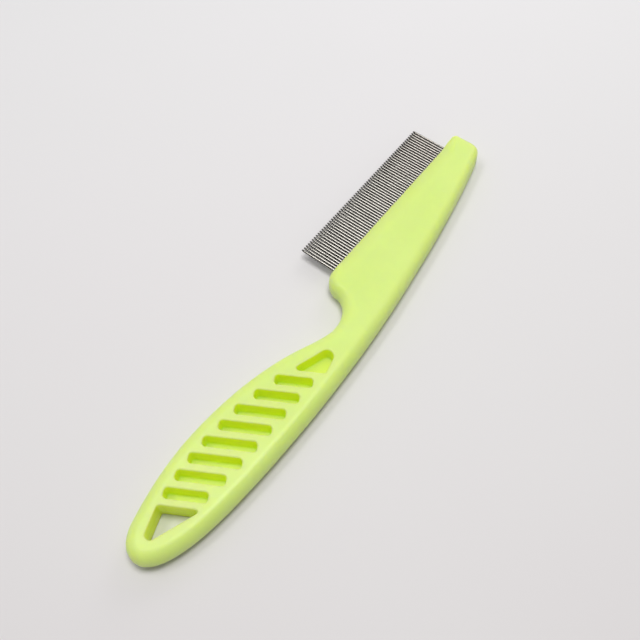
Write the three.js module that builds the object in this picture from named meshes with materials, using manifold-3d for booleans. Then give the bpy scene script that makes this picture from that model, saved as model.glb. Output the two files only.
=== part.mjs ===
// A flea comb: one moulded plastic handle with a comb head, and a row of fine round steel teeth.
//
// Millimetres, +Z up, the comb lying flat on its back face. In the comb group X runs along the row of
// teeth, from the first tooth at x = 0 towards the head's far end; Y is the way the teeth point, with
// the head's toothed edge on y = 0; z = 0 is the middle of the thickness, where the teeth lie.
// The outer group then moves the middle of the footprint to the origin and the lower face to z = 0.
import * as THREE from "three";
import { mergeVertices } from "three/addons/utils/BufferGeometryUtils.js";
import Module from "manifold-3d";

// Driving dimensions of the teeth
const TOOTH_COUNT = 62;
const TOOTH_PITCH = 1.0;
const TOOTH_LENGTH = 13.4; // from the toothed edge to the tips
const WIRE_RADIUS = 0.4;
const TIP_RADIUS = 0.24;
const TIP_TAPER = 0.9;
const ROOT_DEPTH = 4.5; // how far the wire reaches into the head
const WIRE_SIDES = 8;

// Driving dimensions of the handle
const HALF_THICKNESS = 4.0;
const TIP_X = -102.5;
const END_X = 65.6;
const BACK_Y = -24.5;
const ROOT_CLEARANCE = 0.3; // between the wire and the groove that holds it

// Driving dimensions of the grip's pockets
const SLOT_COUNT = 8;
const SLOT_PITCH = 6.0;
const SLOT_WIDTH = 3.0;
const SLOT_MIDDLE_X = -60.9; // middle of the row of slots, measured at SLOT_MIDDLE_Y
const SLOT_MIDDLE_Y = -12.1;
const SLOT_ANGLE = THREE.MathUtils.degToRad(60); // to the comb's length
const SLOT_CORNER = 1.1;
const POCKET_DEPTH = 4.7;

const wasm = await Module();
wasm.setup();

// ---- solids ---------------------------------------------------------------------------------------

function toSolid(geometry) {
  const bare = geometry.clone();
  bare.deleteAttribute("normal");
  bare.deleteAttribute("uv");
  const merged = mergeVertices(bare, 1e-4);
  return new wasm.Manifold(
    new wasm.Mesh({
      numProp: 3,
      vertProperties: merged.attributes.position.array,
      triVerts: new Uint32Array(merged.index.array),
    }),
  );
}

function toGeometry(solid) {
  const mesh = solid.getMesh();
  const geometry = new THREE.BufferGeometry();
  geometry.setAttribute("position", new THREE.BufferAttribute(new Float32Array(mesh.vertProperties), 3));
  geometry.setIndex(new THREE.BufferAttribute(new Uint32Array(mesh.triVerts), 1));
  const faceted = geometry.toNonIndexed();
  faceted.computeVertexNormals();
  return faceted;
}

// ---- the handle's outline -------------------------------------------------------------------------

// How the handle's edge is shaped at one place: a round of the given radius, then a shallow bevel that
// drops by `drop` over `width`, measured inwards from the outline. The two are the same above and below.
const TOOTHED_EDGE = { radius: 1.0, width: 5.0, drop: 1.4 };
const CHIN_EDGE = { radius: 2.8, width: 3.0, drop: 0.05 };
const NECK_EDGE = { radius: 2.8, width: 3.3, drop: 0.1 };
const GRIP_EDGE = { radius: 3.6, width: 3.75, drop: 0.03 };
const BACK_EDGE = { radius: 3.0, width: 3.4, drop: 0.05 };
const HEAD_END_EDGE = { radius: 2.2, width: 2.4, drop: 0.05 };
const END_EDGE = { radius: 1.1, width: 1.5, drop: 0.05 };

const at = (x, y) => new THREE.Vector2(x, y);

// One stretch of the outline: its curve, how many steps it takes, and the edge at its two ends.
const line = (from, to, steps, start, end) => ({
  curve: new THREE.LineCurve(from, to),
  steps,
  start,
  end,
});
const bend = (from, pullFrom, pullTo, to, steps, start, end) => ({
  curve: new THREE.CubicBezierCurve(from, pullFrom, pullTo, to),
  steps,
  start,
  end,
});

// The outline runs anticlockwise seen from above, from the head's far corner along the toothed edge,
// round the chin and the neck, over the grip to its tip, and back along the comb's straight-ish back.
function handleStretches() {
  const corner = 1.7;
  const chin = at(-7.4, -5.5);
  const neck = at(-16.9, -12.5);
  const gripRise = at(-30.4, -7.9);
  const gripCrown = at(-68.4, -1.2);
  const gripFall = at(-95.2, -5.15);
  const tip = at(TIP_X, -12.7);
  const gripBack = at(-85.4, -22.35);
  const backLow = at(-48.4, BACK_Y);
  const headBack = at(9.6, -20.7);
  const endBack = at(60.6, -11.5);
  const endLow = at(END_X, -6.1);
  const endHigh = at(END_X, -corner);
  const edgeEnd = at(END_X - corner, 0);
  const edgeStart = at(-1.5, 0);
  return [
    line(edgeEnd, at(58.5, 0), 3, END_EDGE, TOOTHED_EDGE),
    line(at(58.5, 0), at(3, 0), 2, TOOTHED_EDGE, TOOTHED_EDGE),
    line(at(3, 0), edgeStart, 2, TOOTHED_EDGE, CHIN_EDGE),
    bend(edgeStart, at(-4.2, 0), at(-7.1, -2.1), chin, 8, CHIN_EDGE, NECK_EDGE),
    bend(chin, at(-7.7, -8.6), at(-11.4, -12.5), neck, 10, NECK_EDGE, GRIP_EDGE),
    bend(neck, at(-20.9, -12.5), at(-25.4, -9.9), gripRise, 5, GRIP_EDGE, GRIP_EDGE),
    bend(gripRise, at(-42.4, -3.05), at(-56.4, -1.2), gripCrown, 8, GRIP_EDGE, GRIP_EDGE),
    bend(gripCrown, at(-78.4, -1.2), at(-87.4, -3.05), gripFall, 6, GRIP_EDGE, GRIP_EDGE),
    bend(gripFall, at(-99.2, -6.3), at(TIP_X, -8.5), tip, 8, GRIP_EDGE, GRIP_EDGE),
    bend(tip, at(TIP_X, -17.6), at(-94.6, -20.9), gripBack, 10, GRIP_EDGE, GRIP_EDGE),
    bend(gripBack, at(-75.4, -23.95), at(-60.4, BACK_Y), backLow, 6, GRIP_EDGE, GRIP_EDGE),
    bend(backLow, at(-28.4, BACK_Y), at(-8.4, -23.2), headBack, 7, GRIP_EDGE, BACK_EDGE),
    bend(headBack, at(27.6, -18.3), at(45.6, -15.3), endBack, 7, BACK_EDGE, HEAD_END_EDGE),
    bend(endBack, at(63.8, -10.7), at(END_X, -9.3), endLow, 6, HEAD_END_EDGE, END_EDGE),
    line(endLow, endHigh, 1, END_EDGE, END_EDGE),
    bend(endHigh, at(END_X, -0.7), at(END_X - 0.7, 0), edgeEnd, 4, END_EDGE, END_EDGE),
  ];
}

// Every point of the outline, with its outward normal and its edge.
function handleStations() {
  const blend = THREE.MathUtils.lerp;
  return handleStretches().flatMap(({ curve, steps, start, end }) =>
    Array.from({ length: steps }, (_, i) => {
      const share = i / steps;
      const point = curve.getPoint(share);
      const tangent = curve.getTangent(share);
      return {
        point,
        normal: at(tangent.y, -tangent.x),
        radius: blend(start.radius, end.radius, share),
        width: blend(start.width, end.width, share),
        drop: blend(start.drop, end.drop, share),
      };
    }),
  );
}

// ---- the handle -----------------------------------------------------------------------------------

// The section of the edge at one station, from the lower face's rim round to the upper face's rim.
function edgeSection({ point, normal, radius, width, drop }) {
  const arcSteps = 5;
  const upper = [];
  for (let i = 0; i <= arcSteps; i++) {
    const angle = ((i / arcSteps) * Math.PI) / 2;
    upper.push({
      inset: radius * (1 - Math.cos(angle)),
      height: HALF_THICKNESS - drop - radius + radius * Math.sin(angle),
    });
  }
  upper.push({ inset: width, height: HALF_THICKNESS });
  const lower = upper.map(({ inset, height }) => ({ inset, height: -height })).reverse();
  return [...lower, ...upper].map(({ inset, height }) => [
    point.x - normal.x * inset,
    point.y - normal.y * inset,
    height,
  ]);
}

// A slab with a shaped edge: one ring of vertices for each step of the section, closed by flat faces.
function handleSlab() {
  const sections = handleStations().map(edgeSection);
  const stations = sections.length;
  const rings = sections[0].length;
  const index = (station, ring) => (station % stations) * rings + ring;
  const triangles = [];
  for (let s = 0; s < stations; s++) {
    for (let r = 0; r < rings - 1; r++) {
      triangles.push(index(s, r), index(s + 1, r), index(s + 1, r + 1));
      triangles.push(index(s, r), index(s + 1, r + 1), index(s, r + 1));
    }
  }
  const rim = sections.map((section) => at(section[rings - 1][0], section[rings - 1][1]));
  for (const [a, b, c] of THREE.ShapeUtils.triangulateShape(rim, [])) {
    triangles.push(index(a, rings - 1), index(b, rings - 1), index(c, rings - 1));
    triangles.push(index(a, 0), index(c, 0), index(b, 0));
  }
  const geometry = new THREE.BufferGeometry();
  geometry.setAttribute("position", new THREE.Float32BufferAttribute(sections.flat(2), 3));
  geometry.setIndex(triangles);
  return toSolid(geometry);
}

// A closed outline with every corner rounded. A reach is how far from its corner the round starts.
function roundedShape(corners, reaches) {
  const shape = new THREE.Shape();
  corners.forEach((corner, i) => {
    const before = corners[(i + corners.length - 1) % corners.length];
    const after = corners[(i + 1) % corners.length];
    const entry = before.clone().sub(corner).setLength(reaches[i]).add(corner);
    const exit = after.clone().sub(corner).setLength(reaches[i]).add(corner);
    if (i === 0) shape.moveTo(entry.x, entry.y);
    else shape.lineTo(entry.x, entry.y);
    shape.quadraticCurveTo(corner.x, corner.y, exit.x, exit.y);
  });
  shape.closePath();
  return shape;
}

function prism(shape, bottom, top) {
  const geometry = new THREE.ExtrudeGeometry(shape, {
    depth: top - bottom,
    bevelEnabled: false,
    curveSegments: 4,
  });
  return toSolid(geometry.translate(0, 0, bottom));
}

// How far each slot reaches towards the grip's two long edges, from the hang hole towards the neck.
const SLOT_FRONT_Y = [-6.8, -6.0, -5.5, -5.4, -5.8, -6.2, -7.6, -9.3];
const SLOT_BACK_Y = [-18.1, -18.8, -19.1, -19.3, -19.4, -19.5, -19.5, -19.6];

// One slanting finger slot, open at the upper face.
function slotShape(number) {
  const along = at(Math.cos(SLOT_ANGLE), -Math.sin(SLOT_ANGLE));
  const across = at(-along.y, along.x).multiplyScalar(SLOT_WIDTH / 2);
  const middle = at(SLOT_MIDDLE_X + SLOT_PITCH * (number - (SLOT_COUNT - 1) / 2), SLOT_MIDDLE_Y);
  const reach = (y) => (y - SLOT_MIDDLE_Y) / along.y;
  const front = along.clone().multiplyScalar(reach(SLOT_FRONT_Y[number] - 0.4)).add(middle);
  const back = along.clone().multiplyScalar(reach(SLOT_BACK_Y[number] + 0.4)).add(middle);
  return roundedShape(
    [
      front.clone().sub(across),
      back.clone().sub(across),
      back.clone().add(across),
      front.clone().add(across),
    ],
    [SLOT_CORNER, SLOT_CORNER, SLOT_CORNER, SLOT_CORNER],
  );
}

// The three-cornered pocket between the last slot and the neck.
function neckPocketShape() {
  return roundedShape([at(-36.0, -11.65), at(-31.15, -20.15), at(-19.5, -17.4)], [1.2, 1.2, 9.8]);
}

// The three-cornered hole that the comb hangs by.
function hangHoleShape() {
  return roundedShape([at(-99.05, -12.25), at(-82.35, -18.55), at(-88.2, -8.25)], [5.4, 1.6, 1.0]);
}

// The groove along the toothed edge that holds the buried ends of the teeth.
function rootGroove() {
  const half = WIRE_RADIUS + ROOT_CLEARANCE;
  const length = (TOOTH_COUNT - 1) * TOOTH_PITCH + 2 * half;
  const depth = ROOT_DEPTH + WIRE_RADIUS + ROOT_CLEARANCE;
  const mouth = 1;
  const box = new THREE.BoxGeometry(length, depth + mouth, 2 * half);
  return toSolid(box.translate(length / 2 - half, (mouth - depth) / 2, 0));
}

function handleGeometry() {
  const above = HALF_THICKNESS + 1;
  const floor = HALF_THICKNESS - POCKET_DEPTH;
  let solid = handleSlab().subtract(prism(hangHoleShape(), -above, above));
  solid = solid.subtract(prism(neckPocketShape(), floor, above));
  for (let number = 0; number < SLOT_COUNT; number++) {
    solid = solid.subtract(prism(slotShape(number), floor, above));
  }
  return toGeometry(solid.subtract(rootGroove()));
}

// ---- the teeth ------------------------------------------------------------------------------------

// One straight tooth, from the root to its rounded, slightly tapered tip, standing along +Y.
function toothSolid(x) {
  const profile = [
    [0, -ROOT_DEPTH],
    [WIRE_RADIUS, -ROOT_DEPTH],
    [WIRE_RADIUS, TOOTH_LENGTH - TIP_TAPER],
    [TIP_RADIUS, TOOTH_LENGTH - TIP_RADIUS / 2],
    [0, TOOTH_LENGTH],
  ];
  const points = profile.map(([radius, y]) => at(radius, y));
  return toSolid(new THREE.LatheGeometry(points, WIRE_SIDES).translate(x, 0, 0));
}

// The half-turn of wire inside the head that joins two neighbouring teeth.
function rootBend() {
  const turn = new THREE.CatmullRomCurve3(
    [0, 1, 2, 3, 4].map((i) => {
      const angle = (i / 4) * Math.PI;
      const radius = TOOTH_PITCH / 2;
      return new THREE.Vector3(
        radius - radius * Math.cos(angle),
        -ROOT_DEPTH + 0.1 - radius * Math.sin(angle),
        0,
      );
    }),
  );
  const section = new THREE.Shape().absarc(0, 0, WIRE_RADIUS * 0.98, 0, 2 * Math.PI);
  return toSolid(
    new THREE.ExtrudeGeometry(section, { steps: 6, curveSegments: 4, extrudePath: turn }),
  );
}

// A hairpin of wire: two teeth and the bend between them.
function hairpinGeometry() {
  return toGeometry(toothSolid(0).add(toothSolid(TOOTH_PITCH)).add(rootBend()));
}

// ---- assembly -------------------------------------------------------------------------------------

const limePlastic = new THREE.MeshStandardMaterial({ color: 0xd6ee7c, roughness: 0.35, metalness: 0 });
const steel = new THREE.MeshStandardMaterial({ color: 0xc9cbcd, roughness: 0.22, metalness: 1 });

const comb = new THREE.Group();

const handle = new THREE.Mesh(handleGeometry(), limePlastic);
handle.name = "handle";
comb.add(handle);

const hairpin = hairpinGeometry();
for (let pair = 0; pair < TOOTH_COUNT / 2; pair++) {
  const mesh = new THREE.Mesh(hairpin, steel);
  mesh.name = "teeth_pair_" + String(pair + 1).padStart(2, "0");
  mesh.position.x = 2 * pair * TOOTH_PITCH;
  comb.add(mesh);
}

comb.position.set(-(TIP_X + END_X) / 2, -(BACK_Y + TOOTH_LENGTH) / 2, HALF_THICKNESS);

const group = new THREE.Group();
group.add(comb);

export default group;
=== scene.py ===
"""The looks of a flea comb: a lime green moulded handle with a head full of fine round steel teeth.

Lengths in the outline are in millimetres, in the comb's own frame: x runs along the teeth from the
middle of the first one, y is the way the teeth point with the toothed edge on 0, and z = 0 is the
middle of the thickness. to_row() carries a point from there to the CAD model's frame, in metres.
"""

import math

import bmesh
import bpy
from mathutils import Matrix, Vector
from mathutils.geometry import delaunay_2d_cdt


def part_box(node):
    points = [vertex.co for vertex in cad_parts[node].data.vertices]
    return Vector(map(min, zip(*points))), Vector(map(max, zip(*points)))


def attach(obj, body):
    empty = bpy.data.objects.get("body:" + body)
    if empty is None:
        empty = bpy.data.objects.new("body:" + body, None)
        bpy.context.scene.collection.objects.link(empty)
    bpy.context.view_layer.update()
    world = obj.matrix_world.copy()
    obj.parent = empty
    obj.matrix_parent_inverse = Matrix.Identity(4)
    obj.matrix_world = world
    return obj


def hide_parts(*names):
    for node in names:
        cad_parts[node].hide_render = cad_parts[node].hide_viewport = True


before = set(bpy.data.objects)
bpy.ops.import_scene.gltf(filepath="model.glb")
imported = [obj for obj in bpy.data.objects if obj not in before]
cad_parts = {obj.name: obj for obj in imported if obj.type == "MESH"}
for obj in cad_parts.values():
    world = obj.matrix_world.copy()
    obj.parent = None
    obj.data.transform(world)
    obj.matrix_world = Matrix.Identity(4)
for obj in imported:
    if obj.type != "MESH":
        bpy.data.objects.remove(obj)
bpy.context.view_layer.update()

# ---- places, from the CAD model ----------------------------------------------------------------------

MM = 0.001
HANDLE_LOW, HANDLE_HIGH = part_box("handle")
PAIRS = sorted(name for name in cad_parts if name.startswith("teeth_pair_"))
PAIR_LOW, PAIR_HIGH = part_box(PAIRS[0])
NEXT_LOW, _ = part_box(PAIRS[1])

WIRE_RADIUS = (PAIR_HIGH.z - PAIR_LOW.z) / 2 / MM
PITCH = (NEXT_LOW.x - PAIR_LOW.x) / 2 / MM
TOOTH_LENGTH = (PAIR_HIGH.y - HANDLE_HIGH.y) / MM
HALF_THICKNESS = (HANDLE_HIGH.z - HANDLE_LOW.z) / 2 / MM
ORIGIN = Vector((PAIR_LOW.x + WIRE_RADIUS * MM, HANDLE_HIGH.y, (HANDLE_LOW.z + HANDLE_HIGH.z) / 2))
TIP_X = (HANDLE_LOW.x - ORIGIN.x) / MM
END_X = (HANDLE_HIGH.x - ORIGIN.x) / MM
BACK_Y = (HANDLE_LOW.y - ORIGIN.y) / MM


def to_row(x, y, z):
    return ORIGIN + Vector((x, y, z)) * MM


# ---- small mesh tools --------------------------------------------------------------------------------


def mesh_object(name, mesh_builder, material):
    """A named object with a smooth-shaded mesh, made from a filled bmesh."""
    bmesh.ops.recalc_face_normals(mesh_builder, faces=mesh_builder.faces)
    mesh = bpy.data.meshes.new(name)
    mesh_builder.to_mesh(mesh)
    mesh_builder.free()
    for polygon in mesh.polygons:
        polygon.use_smooth = True
    mesh.materials.append(material)
    made = bpy.data.objects.new(name, mesh)
    bpy.context.scene.collection.objects.link(made)
    return made


def add_ring(builder, points):
    return [builder.verts.new(to_row(*point)) for point in points]


def join_rings(builder, ring, following):
    for i in range(len(ring)):
        j = (i + 1) % len(ring)
        builder.faces.new((ring[i], ring[j], following[j], following[i]))


def fill_flat(builder, outer, holes):
    """Closes a flat face whose outer edge and holes are rings of vertices that exist already."""
    verts = [*outer, *(v for hole in holes for v in hole)]
    flat = [Vector((v.co.x / MM, v.co.y / MM)) for v in verts]
    loops = []
    first = 0
    for loop in [outer, *holes]:
        loops.append(list(range(first, first + len(loop))))
        first += len(loop)
    edges = [(a, b) for loop in loops for a, b in zip(loop, loop[1:] + loop[:1])]
    _, _, faces, _, _, _ = delaunay_2d_cdt(flat, edges, [], 0, 1e-6)
    for face in faces:
        middle = sum((flat[i] for i in face), Vector((0, 0))) / len(face)
        if inside(middle, [flat[i] for i in loops[0]]) and not any(
            inside(middle, [flat[i] for i in loop]) for loop in loops[1:]
        ):
            builder.faces.new([verts[i] for i in face])


def inside(point, loop):
    odd = False
    for a, b in zip(loop, loop[1:] + loop[:1]):
        if (a.y > point.y) != (b.y > point.y):
            if point.x < a.x + (point.y - a.y) * (b.x - a.x) / (b.y - a.y):
                odd = not odd
    return odd


# ---- the handle's outline ----------------------------------------------------------------------------

# How the edge is shaped at one place: a round of the given radius that ends in a shallow crown, which
# starts at the given slope in degrees and runs out flat at `width` from the outline.
TOOTHED_EDGE = (1.0, 5.2, 33.0)
CHIN_EDGE = (2.9, 3.1, 5.0)
NECK_EDGE = (2.8, 3.6, 9.0)
GRIP_EDGE = (3.45, 3.6, 8.0)
BACK_EDGE = (3.0, 3.5, 7.0)
HEAD_END_EDGE = (2.2, 2.4, 5.0)
END_EDGE = (1.0, 1.6, 12.0)


def bezier(points, share):
    a, b, c, d = (Vector(p) for p in points)
    rest = 1 - share
    place = a * rest**3 + b * (3 * rest**2 * share) + c * (3 * rest * share**2) + d * share**3
    heading = (b - a) * rest**2 + (c - b) * (2 * rest * share) + (d - c) * share**2
    return place, heading.normalized()


def straight(start, end):
    """A straight stretch, as a Bezier curve."""
    start, end = Vector(start), Vector(end)
    return (start, start.lerp(end, 1 / 3), start.lerp(end, 2 / 3), end)


CORNER = 1.7
CORNER_HANDLE = 0.75
TEETH_FAR_END = (58.5, 0)
TEETH_NEAR_END = (3, 0)
EDGE_END = (END_X - CORNER, 0)
EDGE_START = (-1.5, 0)
CHIN = (-7.2, -5.3)
NECK = (-16.9, -12.5)
GRIP_RISE = (-30.4, -7.9)
GRIP_CROWN = (-68.4, -1.2)
GRIP_FALL = (-95.2, -5.15)
TIP = (TIP_X, -12.7)
GRIP_BACK = (-85.4, -22.35)
BACK_LOW = (-48.4, BACK_Y)
HEAD_BACK = (9.6, -20.7)
END_BACK = (60.6, -11.5)
END_LOW = (END_X, -6.9)
END_HIGH = (END_X, -CORNER)

# Each stretch of the outline, anticlockwise from above: its curve, its steps, and its two edges.
STRETCHES = [
    (straight(EDGE_END, TEETH_FAR_END), 8, END_EDGE, TOOTHED_EDGE),
    (straight(TEETH_FAR_END, TEETH_NEAR_END), 30, TOOTHED_EDGE, TOOTHED_EDGE),
    (straight(TEETH_NEAR_END, EDGE_START), 6, TOOTHED_EDGE, CHIN_EDGE),
    ((EDGE_START, (-4.2, 0), (-6.9, -1.9), CHIN), 28, CHIN_EDGE, NECK_EDGE),
    ((CHIN, (-7.5, -8.3), (-10.9, -12.5), NECK), 34, NECK_EDGE, GRIP_EDGE),
    ((NECK, (-20.9, -12.5), (-25.4, -9.9), GRIP_RISE), 18, GRIP_EDGE, GRIP_EDGE),
    ((GRIP_RISE, (-42.4, -3.05), (-56.4, -1.2), GRIP_CROWN), 36, GRIP_EDGE, GRIP_EDGE),
    ((GRIP_CROWN, (-78.4, -1.2), (-87.4, -3.05), GRIP_FALL), 26, GRIP_EDGE, GRIP_EDGE),
    ((GRIP_FALL, (-99.2, -6.3), (TIP_X, -8.5), TIP), 26, GRIP_EDGE, GRIP_EDGE),
    ((TIP, (TIP_X, -17.6), (-94.6, -20.9), GRIP_BACK), 40, GRIP_EDGE, GRIP_EDGE),
    ((GRIP_BACK, (-75.4, -23.95), (-60.4, BACK_Y), BACK_LOW), 30, GRIP_EDGE, GRIP_EDGE),
    ((BACK_LOW, (-28.4, BACK_Y), (-8.4, -23.2), HEAD_BACK), 40, GRIP_EDGE, BACK_EDGE),
    ((HEAD_BACK, (27.6, -18.3), (45.6, -15.3), END_BACK), 36, BACK_EDGE, HEAD_END_EDGE),
    ((END_BACK, (64.3, -10.7), (END_X, -9.9), END_LOW), 20, HEAD_END_EDGE, END_EDGE),
    (straight(END_LOW, END_HIGH), 4, END_EDGE, END_EDGE),
    ((END_HIGH, (END_X, -CORNER_HANDLE), (END_X - CORNER_HANDLE, 0), EDGE_END), 12, END_EDGE, END_EDGE),
]


def outline_stations():
    """Points of the outline with their outward normals and the shape of the edge there."""
    for curve, steps, start, end in STRETCHES:
        for step in range(steps):
            share = step / steps
            place, heading = bezier(curve, share)
            edge = [a + (b - a) * share for a, b in zip(start, end)]
            yield place, Vector((heading.y, -heading.x)), edge


# ---- the handle --------------------------------------------------------------------------------------

ARC_STEPS = 9
CROWN_STEPS = 5
CORNER_STEPS = 8
SIDE_STEP = 1.6
FLAT_FACE_WEIGHT = 80
SEAM_HEIGHT = 0.07
SEAM_HALF_WIDTH = 0.14
LEAST_RISE = 0.01


def edge_section(radius, width, slope):
    """(inset, height) pairs from the moulding line at half thickness up to the flat upper face."""
    end_angle = math.radians(90 - slope)
    arc_inset = radius * (1 - math.cos(end_angle))
    run = width - arc_inset
    start_slope = math.tan(math.radians(slope))
    arc_top = HALF_THICKNESS - start_slope * run / 2
    centre = arc_top - radius * math.sin(end_angle)
    section = [(-SEAM_HEIGHT, 0.0), (0.0, SEAM_HALF_WIDTH)]
    for step in range(ARC_STEPS + 1):
        angle = end_angle * step / ARC_STEPS
        least_height = SEAM_HALF_WIDTH + LEAST_RISE * (step + 1)
        height = max(centre + radius * math.sin(angle), least_height)
        section.append((radius * (1 - math.cos(angle)), height))
    for step in range(1, CROWN_STEPS + 1):
        share = step / CROWN_STEPS
        section.append((arc_inset + run * share, arc_top + start_slope * run * (share - share**2 / 2)))
    return section


def rounded_polygon(corners, radii):
    """Points and outward normals of an anticlockwise polygon, each corner rounded by its own radius."""
    corners = [Vector(c) for c in corners]
    count = len(corners)
    loop = []
    for i, corner in enumerate(corners):
        arriving = (corner - corners[i - 1]).normalized()
        leaving = (corners[(i + 1) % count] - corner).normalized()
        turn = arriving.angle(leaving)
        reach = radii[i] * math.tan(turn / 2)
        inward = Vector((-arriving.y, arriving.x))
        centre = corner - arriving * reach + inward * radii[i]
        first = math.atan2(-inward.y, -inward.x)
        for step in range(CORNER_STEPS + 1):
            angle = first + turn * step / CORNER_STEPS
            normal = Vector((math.cos(angle), math.sin(angle)))
            loop.append((centre + normal * radii[i], normal))
        normal = Vector((leaving.y, -leaving.x))
        following = corners[(i + 1) % count]
        next_leaving = (corners[(i + 2) % count] - following).normalized()
        next_reach = radii[(i + 1) % count] * math.tan(leaving.angle(next_leaving) / 2)
        start = corner + leaving * reach
        length = (following - corner).length - reach - next_reach
        pieces = max(1, round(length / SIDE_STEP))
        for piece in range(1, pieces):
            loop.append((start + leaving * (length * piece / pieces), normal))
    return loop


SLOT_COUNT = 8
SLOT_PITCH = 6.0
SLOT_WIDTH = 3.0
SLOT_MIDDLE = Vector((-60.9, -12.1))
SLOT_ANGLE = math.radians(60)
SLOT_FRONT_Y = (-6.8, -6.0, -5.5, -5.4, -5.8, -6.2, -7.6, -9.3)
SLOT_BACK_Y = (-18.1, -18.8, -19.1, -19.3, -19.4, -19.5, -19.5, -19.6)
SLOT_END_ROOM = 0.4
SLOT_CORNER = 1.1
NECK_POCKET = [(-36.0, -11.65), (-31.15, -20.15), (-19.5, -17.4)]
NECK_POCKET_RADII = [0.8, 0.9, 2.0]
HANG_HOLE = [(-99.05, -12.25), (-82.35, -18.55), (-88.2, -8.25)]
HANG_HOLE_RADII = [1.4, 0.5, 0.9]
HOLE_SEAM_HALF_WIDTH = 0.15
POCKET_DEPTH = 4.7
RIM_ROUND = 0.5
FLOOR_ROUND = 0.7
DRAFT = math.tan(math.radians(1.0))
ROUND_STEPS = 5
WALL_STEPS = 4

# Three shares that every vertex of the handle carries for the plastic: how much it belongs to the wall of
# an opening, and to the floor of a pocket, and how much it has been rubbed by hands. The first two carry
# painted glow: a brighter, more saturated green in the openings that stands in for light bouncing about and
# shining through the plastic there.
WALL_GLOW_SHARE = "wall"
WALL_GLOW_FADE = 0.5
FLOOR_GLOW_SHARE = "floor"
RUB = "rub"


def slot_outline(number):
    along = Vector((math.cos(SLOT_ANGLE), -math.sin(SLOT_ANGLE)))
    across = Vector((-along.y, along.x)) * (SLOT_WIDTH / 2)
    middle = SLOT_MIDDLE + Vector((SLOT_PITCH * (number - (SLOT_COUNT - 1) / 2), 0))
    front = middle + along * ((SLOT_FRONT_Y[number] - SLOT_END_ROOM - SLOT_MIDDLE.y) / along.y)
    back = middle + along * ((SLOT_BACK_Y[number] + SLOT_END_ROOM - SLOT_MIDDLE.y) / along.y)
    corners = [front - across, back - across, back + across, front + across]
    return rounded_polygon(corners, [SLOT_CORNER] * 4)


def offset_ring(builder, outline, outward, height):
    return add_ring(builder, [(*(place + normal * outward), height) for place, normal in outline])


def wall_profile(bottom):
    """(outward, height) pairs down a wall from the upper face, starting with the round at its rim."""
    profile = []
    for step in range(ROUND_STEPS + 1):
        angle = math.radians(90 * step / ROUND_STEPS)
        outward = RIM_ROUND * (1 - math.sin(angle))
        profile.append((outward, HALF_THICKNESS - RIM_ROUND * (1 - math.cos(angle))))
    wall_top = HALF_THICKNESS - RIM_ROUND
    for step in range(1, WALL_STEPS + 1):
        depth = (wall_top - bottom) * step / WALL_STEPS
        profile.append((-depth * DRAFT, wall_top - depth))
    return profile


def mark(builder, name, ring, share):
    layer = builder.verts.layers.float[name]
    for vert in ring:
        vert[layer] = share


def mark_wall_glow(builder, rings):
    """The painted glow on a wall grows from nothing at its rims to all of it further in."""
    for ring in rings:
        below_face = HALF_THICKNESS - abs(ring[0].co.z - ORIGIN.z) / MM
        mark(builder, WALL_GLOW_SHARE, ring, min(below_face / WALL_GLOW_FADE, 1.0))


def rub_rim(builder, rim):
    """Hands rub the round of a rim, and neither the face above it nor the wall below it."""
    for step, ring in enumerate(rim):
        mark(builder, RUB, ring, math.sin(math.pi * step / ROUND_STEPS))


def sink_pocket(builder, outline):
    """A blind pocket with a round rim and a rounded floor. Returns the ring that lies in the upper face."""
    floor = HALF_THICKNESS - POCKET_DEPTH
    profile = wall_profile(floor + FLOOR_ROUND)
    foot = profile[-1][0]
    for step in range(1, ROUND_STEPS + 1):
        angle = math.radians(90 * step / ROUND_STEPS)
        inset = FLOOR_ROUND * (1 - math.cos(angle))
        profile.append((foot - inset, floor + FLOOR_ROUND * (1 - math.sin(angle))))
    rings = [offset_ring(builder, outline, outward, height) for outward, height in profile]
    mark_wall_glow(builder, rings)
    for step, ring in enumerate(rings[-ROUND_STEPS:], start=1):
        mark(builder, FLOOR_GLOW_SHARE, ring, step / ROUND_STEPS)
    rub_rim(builder, rings[: ROUND_STEPS + 1])
    for ring, following in zip(rings, rings[1:]):
        join_rings(builder, ring, following)
    builder.faces.new(rings[-1])
    return rings[0]


def cut_through(builder, outline):
    """A hole right through. Returns its rings in the upper and the lower face."""
    upper = wall_profile(HOLE_SEAM_HALF_WIDTH)
    seam = (upper[-1][0] - SEAM_HEIGHT, 0.0)
    profile = [*upper, seam, *[(outward, -height) for outward, height in reversed(upper)]]
    rings = [offset_ring(builder, outline, outward, height) for outward, height in profile]
    mark_wall_glow(builder, rings)
    rub_rim(builder, rings[: ROUND_STEPS + 1])
    rub_rim(builder, rings[-ROUND_STEPS - 1 :])
    for ring, following in zip(rings, rings[1:]):
        join_rings(builder, ring, following)
    return rings[0], rings[-1]


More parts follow.
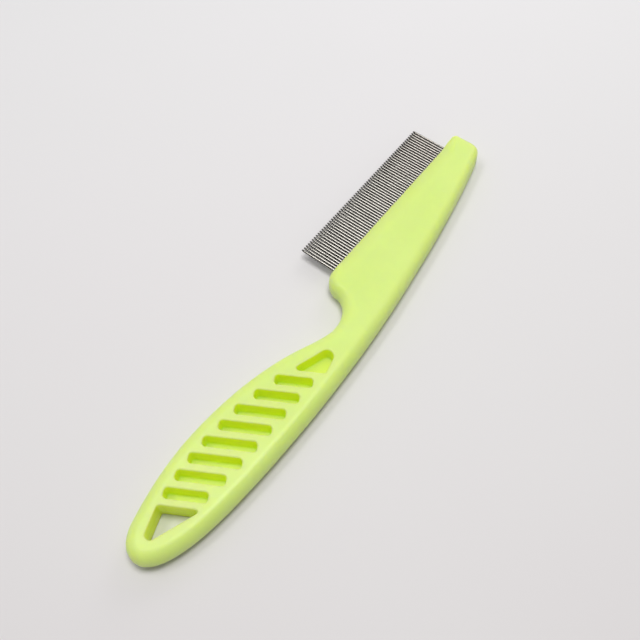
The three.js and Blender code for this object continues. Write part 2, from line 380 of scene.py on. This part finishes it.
def make_handle(material):
    builder = bmesh.new()
    for name in (WALL_GLOW_SHARE, FLOOR_GLOW_SHARE, RUB):
        builder.verts.layers.float.new(name)
    stations = list(outline_stations())
    sections = [edge_section(*edge) for _, _, edge in stations]

    def edge_ring(level, side):
        points = []
        for (place, normal, _), section in zip(stations, sections):
            inset, height = section[level]
            points.append((*(place - normal * inset), side * height))
        return add_ring(builder, points)

    levels = len(sections[0])
    seam = edge_ring(0, 1)
    mark(builder, RUB, seam, 1.0)
    upper = [seam] + [edge_ring(level, 1) for level in range(1, levels)]
    lower = [seam] + [edge_ring(level, -1) for level in range(1, levels)]
    for rings in (upper, lower):
        for ring, following in zip(rings, rings[1:]):
            join_rings(builder, ring, following)

    hole_above, hole_below = cut_through(builder, rounded_polygon(HANG_HOLE, HANG_HOLE_RADII))
    neck_pocket = sink_pocket(builder, rounded_polygon(NECK_POCKET, NECK_POCKET_RADII))
    openings = [hole_above, neck_pocket]
    for number in range(SLOT_COUNT):
        openings.append(sink_pocket(builder, slot_outline(number)))
    fill_flat(builder, upper[-1], openings)
    fill_flat(builder, lower[-1], [hole_below])

    handle = mesh_object("handle_moulding", builder, material)
    weighted = handle.modifiers.new("weighted", "WEIGHTED_NORMAL")
    weighted.weight = FLAT_FACE_WEIGHT
    return handle


# ---- the teeth ---------------------------------------------------------------------------------------

ROOT_DEPTH = 4.5
WIRE_RINGS = (-ROOT_DEPTH, -0.4, 0.3, 4.5, 8.5)
WIRE_SIDES = 20
TIP_TAPER = 1.0
TIP_RADIUS = 0.24
TAPER_POWER = 1.7
TAPER_STEPS = 6
NOSE_STEPS = 5
BEND_STEPS = 8

# A share that every vertex of a wire carries for the steel: how squarely it faces the teeth beside it. It
# drives painted shade on those flanks.
FLANK = "flank"


def tooth_profile():
    """(radius, y) pairs along one tooth: the wire, a slight taper, and a rounded tip."""
    profile = [(WIRE_RADIUS, y) for y in WIRE_RINGS]
    shoulder = TOOTH_LENGTH - TIP_TAPER
    nose = TOOTH_LENGTH - TIP_RADIUS
    for step in range(TAPER_STEPS + 1):
        share = step / TAPER_STEPS
        radius = WIRE_RADIUS + (TIP_RADIUS - WIRE_RADIUS) * share**TAPER_POWER
        profile.append((radius, shoulder + (nose - shoulder) * share))
    for step in range(1, NOSE_STEPS):
        angle = math.radians(90 * step / NOSE_STEPS)
        profile.append((TIP_RADIUS * math.cos(angle), nose + TIP_RADIUS * math.sin(angle)))
    return profile


def wire_ring(builder, centre, heading, radius):
    """A ring of the wire's section. The wire lies in the plane z = 0."""
    side = Vector((-heading.y, heading.x, 0))
    points = []
    for i in range(WIRE_SIDES):
        angle = 2 * math.pi * i / WIRE_SIDES
        points.append(centre + side * (radius * math.cos(angle)) + Vector((0, 0, radius * math.sin(angle))))
    ring = add_ring(builder, points)
    layer = builder.verts.layers.float[FLANK]
    # the flank share drives painted shade on the sides of the wire that face the neighbouring teeth
    for i, vert in enumerate(ring):
        vert[layer] = abs(math.cos(2 * math.pi * i / WIRE_SIDES))
    return ring


def make_hairpin(name, first_x, material):
    """Two teeth and the half turn of wire that joins them inside the head."""
    builder = bmesh.new()
    builder.verts.layers.float.new(FLANK)
    down = Vector((0, -1, 0))
    up = Vector((0, 1, 0))
    profile = tooth_profile()
    rings = [wire_ring(builder, Vector((first_x, y, 0)), down, radius) for radius, y in reversed(profile)]
    bend = PITCH / 2
    for step in range(1, BEND_STEPS):
        angle = math.pi * step / BEND_STEPS
        centre = Vector((first_x + bend - bend * math.cos(angle), -ROOT_DEPTH - bend * math.sin(angle), 0))
        heading = Vector((math.sin(angle), -math.cos(angle), 0))
        rings.append(wire_ring(builder, centre, heading, WIRE_RADIUS))
    rings += [wire_ring(builder, Vector((first_x + PITCH, y, 0)), up, radius) for radius, y in profile]
    for ring, following in zip(rings, rings[1:]):
        join_rings(builder, ring, following)
    for ring, x in ((rings[0], first_x), (rings[-1], first_x + PITCH)):
        point = builder.verts.new(to_row(x, TOOTH_LENGTH, 0))
        for i in range(WIRE_SIDES):
            builder.faces.new((ring[i], ring[(i + 1) % WIRE_SIDES], point))
    return mesh_object(name, builder, material)


# ---- materials ---------------------------------------------------------------------------------------


def new_material(name):
    material = bpy.data.materials.new(name)
    material.use_nodes = True
    tree = material.node_tree
    return material, tree, tree.nodes["Principled BSDF"]


def noise(tree, scale, detail=3.0, roughness=0.5, stretch=(1, 1, 1)):
    """Object-space noise; scale is in features per metre."""
    place = tree.nodes.new("ShaderNodeTexCoord")
    mapping = tree.nodes.new("ShaderNodeMapping")
    mapping.inputs["Scale"].default_value = stretch
    texture = tree.nodes.new("ShaderNodeTexNoise")
    texture.inputs["Scale"].default_value = scale
    texture.inputs["Detail"].default_value = detail
    texture.inputs["Roughness"].default_value = roughness
    tree.links.new(place.outputs["Object"], mapping.inputs["Vector"])
    tree.links.new(mapping.outputs["Vector"], texture.inputs["Vector"])
    return texture.outputs["Fac"]


def ramp(tree, value, low, high, at_low=0.3, at_high=0.7):
    node = tree.nodes.new("ShaderNodeMapRange")
    node.inputs["From Min"].default_value = at_low
    node.inputs["From Max"].default_value = at_high
    node.inputs["To Min"].default_value = low
    node.inputs["To Max"].default_value = high
    tree.links.new(value, node.inputs["Value"])
    return node.outputs["Result"]


def blend_colours(tree, share, first, second):
    """Mixes two colours, each a fixed one or another node's output."""
    mix = tree.nodes.new("ShaderNodeMix")
    mix.data_type = "RGBA"
    for socket, colour in (("A", first), ("B", second)):
        if isinstance(colour, tuple):
            mix.inputs[socket].default_value = (*colour, 1)
        else:
            tree.links.new(colour, mix.inputs[socket])
    tree.links.new(share, mix.inputs["Factor"])
    return mix.outputs["Result"]


def vertex_share(tree, name):
    node = tree.nodes.new("ShaderNodeAttribute")
    node.attribute_name = name
    return node.outputs["Fac"]


def combine(tree, operation, first, second):
    node = tree.nodes.new("ShaderNodeMath")
    node.operation = operation
    tree.links.new(first, node.inputs[0])
    tree.links.new(second, node.inputs[1])
    return node.outputs["Value"]


def bump(tree, shader, heights):
    """Chains bumps; heights holds (value, distance in metres, strength)."""
    normal = None
    for value, distance, strength in heights:
        node = tree.nodes.new("ShaderNodeBump")
        node.inputs["Distance"].default_value = distance
        node.inputs["Strength"].default_value = strength
        tree.links.new(value, node.inputs["Height"])
        if normal:
            tree.links.new(normal, node.inputs["Normal"])
        normal = node.outputs["Normal"]
    tree.links.new(normal, shader.inputs["Normal"])


FACE_COLOURS = ((0.680, 0.840, 0.235), (0.705, 0.860, 0.260))
# Painted glow: the wall and floor colours are brighter and more saturated than the faces. They stand in for
# light that bounces about and shines through the plastic in the openings, less of it on the floors.
WALL_GLOW_COLOURS = ((0.800, 0.965, 0.042), (0.830, 0.985, 0.052))
FLOOR_GLOW_COLOUR = (0.730, 0.875, 0.120)
RUBBED_COLOUR = (0.74, 0.88, 0.30)
PLASTIC_ROUGHNESS = (0.36, 0.44)
RUB_ROUGHENS = 0.12
GLOW_DEPTH = 0.0042


def lime_plastic():
    """Satin plastic that lets a little light through, with painted glow (a brighter, more saturated green)
    on the walls and floors of its openings, and dulled where rubbed.
    """
    material, tree, shader = new_material("lime_plastic")
    cloud = ramp(tree, noise(tree, 45, 2.0), 0.0, 1.0)
    face_colour = blend_colours(tree, cloud, *FACE_COLOURS)
    wall_glow_colour = blend_colours(tree, cloud, *WALL_GLOW_COLOURS)
    # painted glow in the openings: the walls' colour, then the floors'
    wall_glow_tinted = blend_colours(tree, vertex_share(tree, WALL_GLOW_SHARE), face_colour, wall_glow_colour)
    colour = blend_colours(tree, vertex_share(tree, FLOOR_GLOW_SHARE), wall_glow_tinted, FLOOR_GLOW_COLOUR)
    scuffs = ramp(tree, noise(tree, 700, 4.0), 0.35, 1.0, 0.4, 0.6)
    rubbed = combine(tree, "MULTIPLY", vertex_share(tree, RUB), scuffs)
    tree.links.new(blend_colours(tree, rubbed, colour, RUBBED_COLOUR), shader.inputs["Base Color"])
    gloss = ramp(tree, noise(tree, 900, 4.0), *PLASTIC_ROUGHNESS)
    dulled = ramp(tree, rubbed, 0.0, RUB_ROUGHENS, 0.0, 1.0)
    tree.links.new(combine(tree, "ADD", gloss, dulled), shader.inputs["Roughness"])
    shader.inputs["IOR"].default_value = 1.5
    shader.inputs["Subsurface Weight"].default_value = 1.0
    shader.inputs["Subsurface Radius"].default_value = (1.0, 1.0, 0.15)
    shader.inputs["Subsurface Scale"].default_value = GLOW_DEPTH
    bump(tree, shader, [(noise(tree, 120, 2.0), 0.0004, 0.06), (noise(tree, 2600, 3.0), 0.00003, 0.12)])
    return material


STEEL_COLOURS = ((0.385, 0.366, 0.330), (0.455, 0.433, 0.391))
# Painted shade: the flanks between the teeth are darkened towards this colour.
FLANK_SHADE_COLOUR = (0.050, 0.047, 0.040)
FLANK_SHADE_RAMP = (0.40, 0.52)
STEEL_ROUGHNESS = (0.15, 0.19)


def steel_wire():
    """Drawn wire, streaked along its length, with painted shade on the flanks between the teeth."""
    material, tree, shader = new_material("steel_wire")
    streak = noise(tree, 1800, 4.0, 0.6, stretch=(1.0, 0.06, 1.0))
    drawn = blend_colours(tree, ramp(tree, streak, 0.0, 1.0), *STEEL_COLOURS)
    painted_flank_shade = ramp(tree, vertex_share(tree, FLANK), 0.0, 1.0, *FLANK_SHADE_RAMP)
    tree.links.new(blend_colours(tree, painted_flank_shade, drawn, FLANK_SHADE_COLOUR), shader.inputs["Base Color"])
    shader.inputs["Metallic"].default_value = 1.0
    tree.links.new(ramp(tree, streak, *STEEL_ROUGHNESS), shader.inputs["Roughness"])
    bump(tree, shader, [(streak, 0.00002, 0.08)])
    return material


# Painted light: the table is darker on its near side and lighter on its far side, standing in for light
# that falls off across it.
TABLE_SHADED_NEAR_COLOUR = (0.700, 0.667, 0.670)
TABLE_LIT_FAR_COLOUR = (0.850, 0.840, 0.850)
TABLE_CLOUD_COLOUR = (0.755, 0.755, 0.745)
TABLE_LIGHT_FADE_ALONG = (0.76, 0.65, 0.0)
TABLE_LIGHT_FADE = (-0.12, 0.22)


def table_top():
    """A pale table with painted light: it grows a little lighter towards its far side, standing in for
    light that falls off towards the near side.
    """
    material, tree, shader = new_material("table_top")
    place = tree.nodes.new("ShaderNodeTexCoord")
    away = tree.nodes.new("ShaderNodeVectorMath")
    away.operation = "DOT_PRODUCT"
    away.inputs[1].default_value = TABLE_LIGHT_FADE_ALONG
    tree.links.new(place.outputs["Object"], away.inputs[0])
    painted_light_fade = ramp(tree, away.outputs["Value"], 0.0, 1.0, *TABLE_LIGHT_FADE)
    painted_light_colour = blend_colours(tree, painted_light_fade, TABLE_SHADED_NEAR_COLOUR, TABLE_LIT_FAR_COLOUR)
    cloud = ramp(tree, noise(tree, 6, 3.0), 0.0, 0.35)
    tree.links.new(blend_colours(tree, cloud, painted_light_colour, TABLE_CLOUD_COLOUR), shader.inputs["Base Color"])
    shader.inputs["Roughness"].default_value = 0.6
    shader.inputs["Specular IOR Level"].default_value = 0.3
    return material


# ---- the object --------------------------------------------------------------------------------------

plastic = lime_plastic()
steel = steel_wire()

handle = make_handle(plastic)
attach(handle, "root")
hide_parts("handle")

for number, node in enumerate(PAIRS):
    hairpin = make_hairpin(node.replace("teeth_pair", "wire_pair"), 2 * number * PITCH, steel)
    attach(hairpin, "root")
    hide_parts(node)

# ---- table, light and camera -------------------------------------------------------------------------


TABLE_HALF = 1.5


def make_floor():
    builder = bmesh.new()
    signs = [(-1, -1), (1, -1), (1, 1), (-1, 1)]
    corners = [(TABLE_HALF * x, TABLE_HALF * y) for x, y in signs]
    builder.faces.new([builder.verts.new((x, y, 0)) for x, y in corners])
    return mesh_object("table", builder, table_top())


def area_light(name, place, size, power):
    """A rectangular softbox facing the middle of the comb, with its first side along x."""
    light = bpy.data.lights.new(name, "AREA")
    light.shape = "RECTANGLE"
    light.size, light.size_y = size
    light.energy = power
    made = bpy.data.objects.new(name, light)
    bpy.context.scene.collection.objects.link(made)
    back = Vector(place).normalized()
    right = Vector((0, 1, 0)).cross(back).normalized()
    made.location = place
    made.rotation_euler = Matrix((right, back.cross(right), back)).transposed().to_euler()


make_floor()

SKY_SIDE = Vector((0.1, 0.55, 0.83)).normalized()
SKY_FADE = (0.3, 0.95)
DIM_GLOW = 0.25
SKY_GLOW = 0.45


def make_world():
    """Soft surroundings, bright above and beyond the teeth and dimmer on the other side."""
    world = bpy.data.worlds.new("studio")
    world.use_nodes = True
    tree = world.node_tree
    place = tree.nodes.new("ShaderNodeTexCoord")
    along = tree.nodes.new("ShaderNodeVectorMath")
    along.operation = "DOT_PRODUCT"
    along.inputs[1].default_value = SKY_SIDE
    glow = tree.nodes.new("ShaderNodeMapRange")
    glow.interpolation_type = "SMOOTHSTEP"
    glow.inputs["From Min"].default_value = SKY_FADE[0]
    glow.inputs["From Max"].default_value = SKY_FADE[1]
    glow.inputs["To Min"].default_value = DIM_GLOW
    glow.inputs["To Max"].default_value = SKY_GLOW
    tree.links.new(place.outputs["Generated"], along.inputs[0])
    tree.links.new(along.outputs["Value"], glow.inputs["Value"])
    tree.links.new(glow.outputs["Result"], tree.nodes["Background"].inputs["Strength"])
    tree.nodes["Background"].inputs["Color"].default_value = (1.0, 1.0, 1.0, 1)
    return world


scene = bpy.context.scene
scene.world = make_world()
scene.view_settings.view_transform = "Standard"

area_light("overhead", (0.06, -0.06, 0.80), (0.25, 0.25), 3.05)
area_light("strip", (-0.12, 0.30, 0.80), (0.40, 0.16), 1.3)
area_light("window", (0.60, 0.10, 0.35), (0.3, 0.3), 0.6)

CAMERA_PLACE = to_row(-110.7, -87.6, 216.5)
CAMERA_TARGET = to_row(-14.96, -5.26, -HALF_THICKNESS)
CAMERA_ROLL = math.radians(-3.27)
SENSOR_WIDTH = 36
FOCAL_LENGTH = 46.91
NEAREST = 0.01
camera_data = bpy.data.cameras.new("camera")
camera_data.sensor_width = SENSOR_WIDTH
camera_data.lens = FOCAL_LENGTH
camera_data.clip_start = NEAREST
camera = bpy.data.objects.new("camera", camera_data)
scene.collection.objects.link(camera)
camera.location = CAMERA_PLACE
look = (CAMERA_TARGET - CAMERA_PLACE).to_track_quat("-Z", "Y")
camera.rotation_euler = (look.to_matrix() @ Matrix.Rotation(CAMERA_ROLL, 3, "Z")).to_euler()
scene.camera = camera
